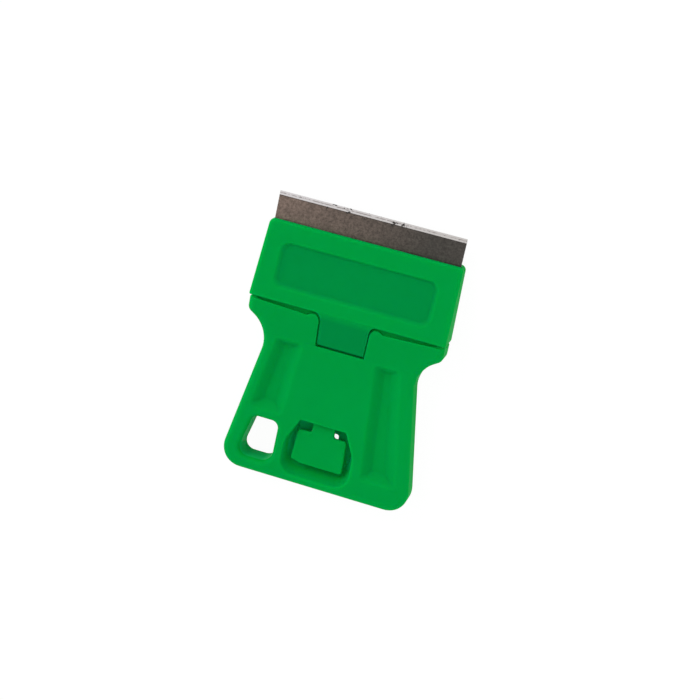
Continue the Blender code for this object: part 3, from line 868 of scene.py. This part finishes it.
def cutPans(handle):
    size = panShape
    topY = slopeEndY - size["topFromSlope"]
    pans = (
        (-1, "leftPanCut", size["leftEnd"], size["leftRim"], size["shadeSide"], size["lightSide"]),
        (1, "rightPanCut", size["rightEnd"], size["rightRim"], size["lightSide"], size["shadeSide"]),
    )
    for side, name, bottomY, rim, outerRun, innerRun in pans:
        corners = [
            (side * (handleHalfAt(topY) - rim), topY, size["cornerRadius"]),
            (side * (handleHalfAt(bottomY) - rim), bottomY, size["cornerRadius"]),
            (side * ribHalfAt(bottomY), bottomY, size["cornerRadius"]),
            (side * ribHalfAt(topY), topY, size["cornerRadius"]),
        ]
        insets = (size["topRun"], outerRun, size["endRun"], innerRun)
        combine(handle, addSoftCutter(name, corners, handleShape["thickness"] + closeBy, size["depth"], insets))


def cutHole(handle):
    size = holeShape
    left = size["right"] - size["width"]
    corners = [
        (size["right"], size["top"], size["radius"]),
        (size["right"], size["bottom"], size["nearRadius"]),
        (left, size["bottom"], size["wideRadius"]),
        (left + size["lean"], size["top"], size["radius"]),
    ]
    top = handleShape["thickness"]
    levels = []
    for flare, rise in quarterRound(size["rimSteps"]):
        insets = [-(size["rimRound"] * flare)] * len(corners)
        levels.append((movedIn(corners, insets, radiusShare=1.0), size["rimRound"] * rise))
    for drop, flare in quarterRound(size["rimSteps"]):
        insets = [-(size["topRound"] * flare)] * len(corners)
        levels.append((movedIn(corners, insets, radiusShare=1.0), top - size["topRound"] * drop))
    levels.insert(0, (levels[0][0], -overrun))
    levels.append((levels[-1][0], top + overrun))
    combine(handle, addLoft("holeCut", levels))


def inHole(place):
    size = holeShape
    reach = handlePaintedLight["holeReach"]
    inX = size["right"] - size["width"] - reach < place.x < size["right"] + reach
    return inX and size["bottom"] - reach < place.y < size["top"] + reach


def inPocket(place):
    size = pocketShape
    reach = handlePaintedLight["pocketReach"]
    bottomY = roofEndY - size["length"]
    return abs(place.x) < size["half"] + reach and bottomY - reach < place.y < roofEndY + reach


# Below the surface in the open channel or the seam
def inMouth(place):
    size = handlePaintedLight
    fromMiddle = abs(place.x)
    sunkBy = handleShape["shoulderHeight"] - (seamY - min(seamY, place.y)) * size["mouthFall"] - place.z
    inSeam = place.y > seamY - size["seamReach"] and fromMiddle < handleShape["shoulderHalf"]
    channelHalf = channelShape["rootHalf"] + size["channelSide"]
    inChannel = fromMiddle < channelHalf and place.y > slopeEndY - size["channelEnd"]
    return sunkBy > size["mouthSunk"] and (inSeam or inChannel) and place.z > channelShape["floor"] - closeBy


# How much painted light a point of the handle gets
def handlePaintedLightAt(place, steepness):
    size = handlePaintedLight
    if inHole(place):
        return size["hole"] * steepness
    if inPocket(place):
        sunkBy = handleShape["thickness"] - size["pocketFrom"] - place.z
        pocketLightLift = min(size["pocketMost"], max(0.0, sunkBy / size["pocketDepth"]))
        fromEnd = place.y - (roofEndY - pocketShape["length"])
        return pocketLightLift * min(1.0, max(size["pocketEnd"], fromEnd / size["pocketEndFade"]))
    if inMouth(place):
        return size["mouth"]
    if place.y > slopeEndY - size["shoulderReach"]:
        isSide = abs(place.x) > handleShape["waistHalf"] - size["rim"] and place.y < seamY + closeBy
    else:
        isSide = abs(place.x) > handleHalfAt(place.y) - size["rim"] or place.y < endY + size["rim"]
    return steepness if isSide else 0


def buildHandle(materials):
    handle = addHandleBlock()
    openSeam(handle)
    addDeck(handle)
    cutChannel(handle)
    cutPocket(handle)
    cutPans(handle)
    cutHole(handle)
    size = pocketShape
    top = handleShape["thickness"]
    roundEdges(handle, size["rimRound"], lambda middle: inPocket(middle) and onFace(middle, top), segments=3)
    roundEdges(handle, size["windowRound"], lambda middle: inPocket(middle) and onFace(middle, 0))
    markPaintedLight(handle, handlePaintedLightAt)
    finishPiece(handle, "handle_body", "handle", materials)


# Blade guard: sloping sleeve, bare panel and tongue

guardShape = {
    "frontHalf": 0.01975,
    "rearHalf": 0.02025,
    "frontHeight": 0.0039,
    "rearHeight": 0.0069,
    "frontRadius": 0.0011,
    "rearRadius": 0.0003,
    "edgeRadius": 0.00042,
    "sideRadius": 0.0008,
    "endShare": 0.5,
    "cavityHalf": 0.0193,
    "slotLow": 0.00215,
    "slotHigh": 0.00298,
    "lipLength": 0.0021,
    "backWall": 0.0008,
    "faceWall": 0.0010,
    "hollowLow": 0.003504,
}

panelShape = {
    "half": 0.0164,
    "length": 0.0094,
    "fromLip": 0.0035,
    "depth": 0.0005,
    "cornerRadius": 0.0019,
    "topRun": 0.0006,
    "softRun": 0.0012,
    "deepest": 1.2,
    # How much painted shade the panel's floor gets
    "paintedShadeShare": 0.72,
}

tongueShape = {
    "rootHalf": 0.00505,
    "rootLead": 0.0002,
    "half": 0.0048,
    "rootRadius": 0.0016,
    "rootRun": 0.0011,
    "low": 0.0034,
    "top": 0.0046,
    "end": -0.01385,
    "lugFront": -0.0128,
    "lugLow": 0.0025,
    "edgeRound": 0.00015,
    "roundFrom": 0.0012,
    "crestDrop": 0.0001,
    "crestRadius": 0.0006,
    "dipRun": 0.00034,
    "dipHeight": 0.0057,
    "shadeRun": 0.0012,
}

# Painted light: where the guard's side walls take the wall colour, and where its steep walls from the rear face
# back take the paler hollow colour that lifts the seam's shade, and how much
guardPaintedLight = {"rim": 0.0008, "rear": 1.6, "rearSteepness": 0.7}


def faceHeight(y):
    share = (lipY - y) / (lipY - guardRearY)
    return guardShape["frontHeight"] + (guardShape["rearHeight"] - guardShape["frontHeight"]) * share


def addSleeve():
    size = guardShape
    outline = mirrored([
        (size["frontHalf"], lipY, size["frontRadius"]),
        (size["rearHalf"], guardRearY, size["rearRadius"]),
    ])
    height = size["rearHeight"]
    radii = (size["edgeRadius"], size["sideRadius"])
    guard = addMoulding("guardSleeve", outline, height, radii, (0, 2), size["endShare"])
    lowerTop(guard, size["frontHeight"] / 2, height, faceHeight)
    return guard


def hollowSleeve(guard):
    size = guardShape
    slotRear = lipY - size["lipLength"]
    slot = (slotRear - overrun, lipY + overrun)
    combine(guard, addBlock("slotCut", size["cavityHalf"], slot, (size["slotLow"], size["slotHigh"])))
    riseY = slotRear - size["faceWall"]
    behind = guardRearY - overrun
    hollow = addBar("hollowCut", [
        (slotRear, size["backWall"], 0),
        (slotRear, size["slotHigh"], 0),
        (riseY, size["hollowLow"], 0),
        (behind, size["hollowLow"] + faceHeight(behind) - faceHeight(riseY), 0),
        (behind, size["backWall"], 0),
    ], size["cavityHalf"])
    combine(guard, hollow)


def cutPanel(guard):
    size = panelShape
    outline = mirrored([
        (size["half"], size["length"] / 2, size["cornerRadius"]),
        (size["half"], -size["length"] / 2, size["cornerRadius"]),
    ])
    insets = (size["topRun"], size["softRun"], size["softRun"], size["softRun"])
    cutter = addSoftCutter("panelCut", outline, closeBy, size["depth"], insets)
    leaveEditMode()
    middleY = lipY - size["fromLip"] - size["length"] / 2
    slope = math.atan2(guardShape["rearHeight"] - guardShape["frontHeight"], lipY - guardRearY)
    onSlope = Matrix.Translation((0, middleY, faceHeight(middleY))) @ Matrix.Rotation(-slope, 4, "X")
    cutter.data.transform(onSlope)
    combine(guard, cutter)


def addTongue(guard):
    size = tongueShape
    wideHalf = size["rootHalf"] + 2 * size["rootRadius"]
    rootY = guardRearY + size["rootLead"]
    frontY = guardRearY + size["rootRun"]
    outline = mirrored([
        (wideHalf, frontY + overrun, slideGap),
        (wideHalf, rootY, slideGap),
        (size["rootHalf"], rootY, size["rootRadius"]),
        (size["half"], slopeEndY, size["rootRadius"]),
        (size["half"], size["end"], slideGap),
    ])
    tongue = addPlate("tongue", outline, size["lugLow"] - overrun, guardShape["rearHeight"])
    nearY = guardRearY + slideGap
    sideView = addBar("tongueView", [
        (frontY, size["low"], 0),
        (frontY, faceHeight(frontY) - guardShape["faceWall"] / 2, 0),
        (nearY, faceHeight(nearY) - size["crestDrop"], 0),
        (guardRearY - slideGap, handleShape["shoulderHeight"], size["crestRadius"]),
        (slopeEndY + size["dipRun"], size["dipHeight"], size["crestRadius"]),
        (slopeEndY + slideGap, size["top"], 0),
        (size["end"], size["top"], 0),
        (size["end"], size["lugLow"], 0),
        (size["lugFront"], size["lugLow"], 0),
        (size["lugFront"], size["low"], 0),
    ], wideHalf + overrun)
    combine(tongue, sideView, "INTERSECT")
    roundEdges(tongue, size["edgeRound"], lambda middle: middle.y < guardRearY - size["roundFrom"])
    combine(guard, tongue, "UNION")


# How much painted light a point of the guard gets
def guardPaintedLightAt(place, steepness):
    size = guardShape
    half = size["frontHalf"] + (size["rearHalf"] - size["frontHalf"]) * (lipY - place.y) / (lipY - guardRearY)
    if place.y < guardRearY + closeBy:
        return guardPaintedLight["rear"] if steepness > guardPaintedLight["rearSteepness"] else 0
    return steepness if abs(place.x) > half - guardPaintedLight["rim"] else 0


# Marks the panel's floor and the tongue for painted shade, darker than the face
def markPaintedShade(guard):
    size = panelShape
    shares = guard.data.attributes.new("paintedShadeShare", "FLOAT", "POINT")
    for vertex in guard.data.vertices:
        place = vertex.co
        fromMiddle = abs(lipY - place.y - size["fromLip"] - size["length"] / 2)
        inPanel = abs(place.x) < size["half"] + closeBy and fromMiddle < size["length"] / 2 + closeBy
        sunk = faceHeight(place.y) - place.z
        if inPanel and sunk < size["depth"] * size["deepest"]:
            shares.data[vertex.index].value = size["paintedShadeShare"] * min(1.0, max(0.0, sunk / size["depth"]))
        elif place.y < guardRearY - closeBy:
            shares.data[vertex.index].value = min(1.0, (guardRearY - place.y) / tongueShape["shadeRun"])


def buildGuard(materials):
    guard = addSleeve()
    hollowSleeve(guard)
    cutPanel(guard)
    addTongue(guard)
    splitAt(guard, guardRearY - tongueShape["shadeRun"])
    markPaintedLight(guard, guardPaintedLightAt)
    markPaintedShade(guard)
    finishPiece(guard, "blade_guard", "guard", materials)


# Thumb tab

tabShape = {
    "neckHalf": 0.0023,
    "neckStart": -0.01415,
    "neckRadius": 0.0002,
    "neckFillet": 0.0005,
    "top": -0.01725,
    "tip": -0.02425,
    "topHalf": 0.0051,
    "tipHalf": 0.00545,
    "low": 0.0036,
    "high": 0.0046,
    "cornerRadius": 0.0006,
    "clipWidth": 0.0021,
    "clipLength": 0.0006,
    "clipEndRadius": 0.0004,
    "clipSideRadius": 0.0003,
    "edgeRound": 0.00022,
    "roundedDegrees": 60,
}


def buildTab(materials):
    size = tabShape
    outline = [
        (size["neckHalf"], size["neckStart"], size["neckRadius"]),
        (size["neckHalf"], size["top"], size["neckFillet"]),
        (size["topHalf"], size["top"], size["cornerRadius"]),
        (size["tipHalf"], size["tip"], size["cornerRadius"]),
        (-size["tipHalf"] + size["clipWidth"], size["tip"], size["clipEndRadius"]),
        (-size["tipHalf"], size["tip"] + size["clipLength"], size["clipSideRadius"]),
        (-size["topHalf"], size["top"], size["cornerRadius"]),
        (-size["neckHalf"], size["top"], size["neckFillet"]),
        (-size["neckHalf"], size["neckStart"], size["neckRadius"]),
    ]
    tab = addPlate("thumbTab", outline, size["low"], size["high"])
    roundEdges(tab, size["edgeRound"], segments=3, sharper=math.radians(size["roundedDegrees"]))
    finishPiece(tab, "thumb_tab", "tab", materials)


# Razor blade: rolled strip with ground bevels and two locating notches

bladeShape = {
    "edgeHeight": 0.00004,
    "bevelLength": 0.0008,
    "notchDepth": 0.0017,
    "notchWidth": 0.0021,
    "notchFromEdge": 0.0118,
    "notchRound": 0.8,
}


def buildBlade(materials):
    size = bladeShape
    low, high = bladeLow, bladeHigh
    middleZ = (low.z + high.z) / 2
    bevelY = high.y - size["bevelLength"]
    blade = addBar("razorBlade", [
        (high.y, middleZ - size["edgeHeight"] / 2, 0),
        (high.y, middleZ + size["edgeHeight"] / 2, 0),
        (bevelY, high.z, 0),
        (low.y, high.z, 0),
        (low.y, low.z, 0),
        (bevelY, low.z, 0),
    ], high.x)
    notchY = high.y - size["notchFromEdge"]
    half = size["notchWidth"] / 2
    for side, name in ((-1, "leftNotch"), (1, "rightNotch")):
        inner = side * (high.x - size["notchDepth"])
        outer = side * (high.x + overrun)
        corners = [
            (inner, notchY + half, half * size["notchRound"]),
            (outer, notchY + half, 0),
            (outer, notchY - half, 0),
            (inner, notchY - half, half * size["notchRound"]),
        ]
        combine(blade, addPlate(name, corners, low.z - overrun, high.z + overrun))
    for material in materials:
        blade.data.materials.append(material)
    for face in blade.data.polygons:
        isGround = face.center.y > bevelY and abs(face.normal.x) < 0.5
        face.material_index = 1 if isGround else 0
    finishPiece(blade, "blade", "handle", materials)


surface = mouldedSurfaceGroup()
handlePlastic = greenPlastic("handlePlastic", surface)
guardPlastic = greenPlastic("guardPlastic", surface)
buildHandle([handlePlastic])
buildGuard([guardPlastic])
buildTab([guardPlastic])
buildBlade([bladeSteel(), groundSteel()])
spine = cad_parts["blade_spine"]
spine.data.materials.clear()
spine.data.materials.append(spineSteel())
print("pieces built")


# Stage, lamps and camera

stageLook = {
    "floorDrop": 0.0004,
    "floorSize": 3.0,
    "floorColour": (0.95, 0.95, 0.95, 1.0),
    "floorRoughness": 0.9,
    "cameraWhite": 0.93,
    "floorGain": 1.03,
    "worldLight": 0.66,
}

lampSetup = (
    {"name": "keyLamp", "from": (-0.6, 0.62, 0.6), "size": 0.5, "watts": 3.4},
    {"name": "fillLamp", "from": (0.6, 0.15, 0.6), "size": 0.8, "watts": 0.7},
)

cameraSetup = {
    "tiltDegrees": (13.82, -14.54, -12.39),
    "slide": (0.00511, 0.02677),
    "distance": 0.29213,
    "focusPixels": 1500.0,
    "imagePixels": 700.0,
    "sensor": 36.0,
    "clipStart": 0.01,
    "clipEnd": 10.0,
}


# Mixes plain white into a surface for the rays that show it, and leaves its light on the object alone
def whiteForCamera(tree, output, lit, kind, share, strength=1.0):
    nodes = tree.nodes
    links = tree.links
    path = nodes.new("ShaderNodeLightPath")
    seen = addMath(nodes, links, "MAXIMUM", path.outputs["Is Camera Ray"], path.outputs["Is Glossy Ray"])
    seenOrThrough = addMath(nodes, links, "MAXIMUM", seen, path.outputs["Is Transmission Ray"])
    white = nodes.new(kind)
    white.inputs["Color"].default_value = (1, 1, 1, 1)
    white.inputs["Strength"].default_value = strength
    mix = nodes.new("ShaderNodeMixShader")
    links.new(addMath(nodes, links, "MULTIPLY", seenOrThrough, share), mix.inputs[0])
    links.new(lit, mix.inputs[1])
    links.new(white.outputs[0], mix.inputs[2])
    links.new(mix.outputs[0], output.inputs["Surface"])


def buildFloor():
    look = stageLook
    leaveEditMode()
    bpy.ops.object.select_all(action="DESELECT")
    bpy.ops.mesh.primitive_plane_add(size=look["floorSize"], location=(0, 0, -look["floorDrop"]))
    floor = bpy.context.object
    floor.name = "floor"
    material, nodes, _, shader = newMaterial("whiteFloor")
    shader.inputs["Base Color"].default_value = look["floorColour"]
    shader.inputs["Roughness"].default_value = look["floorRoughness"]
    shader.inputs["Specular IOR Level"].default_value = 0.0
    whiteForCamera(
        material.node_tree, nodes["Material Output"], shader.outputs[0],
        "ShaderNodeEmission", look["cameraWhite"], look["floorGain"],
    )
    floor.data.materials.append(material)


def buildWorld():
    world = bpy.data.worlds.new("studio")
    bpy.context.scene.world = world
    world.use_nodes = True
    nodes = world.node_tree.nodes
    light = nodes["Background"]
    light.inputs["Color"].default_value = (1, 1, 1, 1)
    light.inputs["Strength"].default_value = stageLook["worldLight"]
    whiteForCamera(world.node_tree, nodes["World Output"], light.outputs[0], "ShaderNodeBackground", 1.0)


def buildLamps():
    for setup in lampSetup:
        bpy.ops.object.light_add(type="AREA", location=setup["from"])
        lamp = bpy.context.object
        lamp.name = setup["name"]
        lamp.data.shape = "DISK"
        lamp.data.size = setup["size"]
        lamp.data.energy = setup["watts"]
        lamp.rotation_euler = (-Vector(setup["from"])).to_track_quat("-Z", "Y").to_euler()


# The camera looks at a point in line with the cutting edge, and is slid and backed off from there
def buildCamera():
    setup = cameraSetup
    camera = bpy.data.objects.new("camera", bpy.data.cameras.new("camera"))
    bpy.context.scene.collection.objects.link(camera)
    tilt = Matrix.Identity(4)
    for degrees, axis in zip(setup["tiltDegrees"], "XYZ"):
        tilt = tilt @ Matrix.Rotation(math.radians(degrees), 4, axis)
    target = Matrix.Translation((0, bladeHigh.y, 0))
    back = Matrix.Translation((-setup["slide"][0], -setup["slide"][1], setup["distance"]))
    camera.matrix_world = target @ tilt.inverted() @ back
    camera.data.sensor_width = setup["sensor"]
    camera.data.lens = setup["focusPixels"] * setup["sensor"] / setup["imagePixels"]
    camera.data.clip_start = setup["clipStart"]
    camera.data.clip_end = setup["clipEnd"]
    camera.data.dof.use_dof = False
    bpy.context.scene.camera = camera


buildFloor()
buildWorld()
buildLamps()
buildCamera()
bpy.context.scene.view_settings.view_transform = "Standard"
print("stage built")
